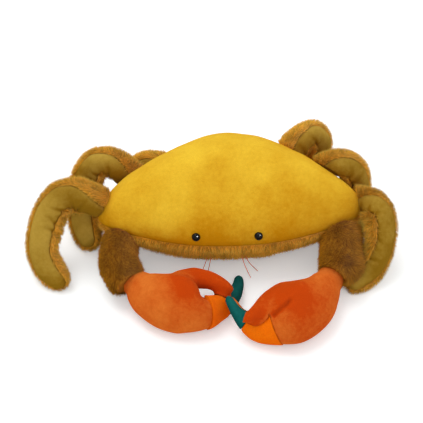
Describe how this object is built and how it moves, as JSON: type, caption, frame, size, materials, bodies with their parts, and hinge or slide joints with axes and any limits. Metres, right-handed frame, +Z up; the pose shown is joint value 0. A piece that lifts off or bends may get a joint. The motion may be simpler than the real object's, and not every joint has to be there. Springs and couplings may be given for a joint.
{
  "type": "plush crab",
  "caption": "Soft stuffed crab with a velour shell, fur belly and arms, hooked two-panel legs, curled claws with coloured tips, bead eyes and thread whiskers.",
  "frame": {"origin": "middle of the toy's footprint box, on the surface that its belly rests on", "axes": "+X along the crab's width, to the right as seen by someone facing it; the crab faces -Y; +Z is up from the surface that it rests on"},
  "size_m": [0.51, 0.3443, 0.15],
  "materials": {
    "velour_mustard": "short pile velour",
    "fur_brown": "long pile fur",
    "velour_olive": "short pile velour",
    "fur_caramel": "long pile fur",
    "velour_orange": "short pile velour",
    "velour_amber": "short pile velour",
    "velour_teal": "short pile velour",
    "bead_black": "glossy",
    "washer_white": "matt",
    "thread_coral": "twisted thread"
  },
  "bodies": {
    "root": {"carapace": "velour_mustard", "belly": "fur_caramel", "eye_left": "bead_black", "eye_washer_left": "washer_white", "arm_left": "fur_brown", "claw_left_palm": "velour_orange", "claw_left_segment": "velour_amber", "claw_left_tip": "velour_teal", "claw_left_underside": "velour_orange", "claw_left_thumb": "velour_orange", "eye_right": "bead_black", "eye_washer_right": "washer_white", "arm_right": "fur_brown", "claw_right_palm": "velour_orange", "claw_right_segment": "velour_amber", "claw_right_tip": "velour_teal", "claw_right_underside": "velour_orange", "claw_right_thumb": "velour_orange", "leg_left_front_face": "velour_olive", "leg_left_front_back": "fur_caramel", "leg_left_middle_face": "velour_olive", "leg_left_middle_back": "fur_caramel", "leg_left_rear_face": "velour_olive", "leg_left_rear_back": "fur_caramel", "leg_right_front_face": "velour_olive", "leg_right_front_back": "fur_caramel", "leg_right_middle_face": "velour_olive", "leg_right_middle_back": "fur_caramel", "leg_right_rear_face": "velour_olive", "leg_right_rear_back": "fur_caramel", "thread_left_outer": "thread_coral", "thread_left_inner": "thread_coral", "thread_right_inner": "thread_coral", "thread_right_outer": "thread_coral"}
  },
  "joints": []
}
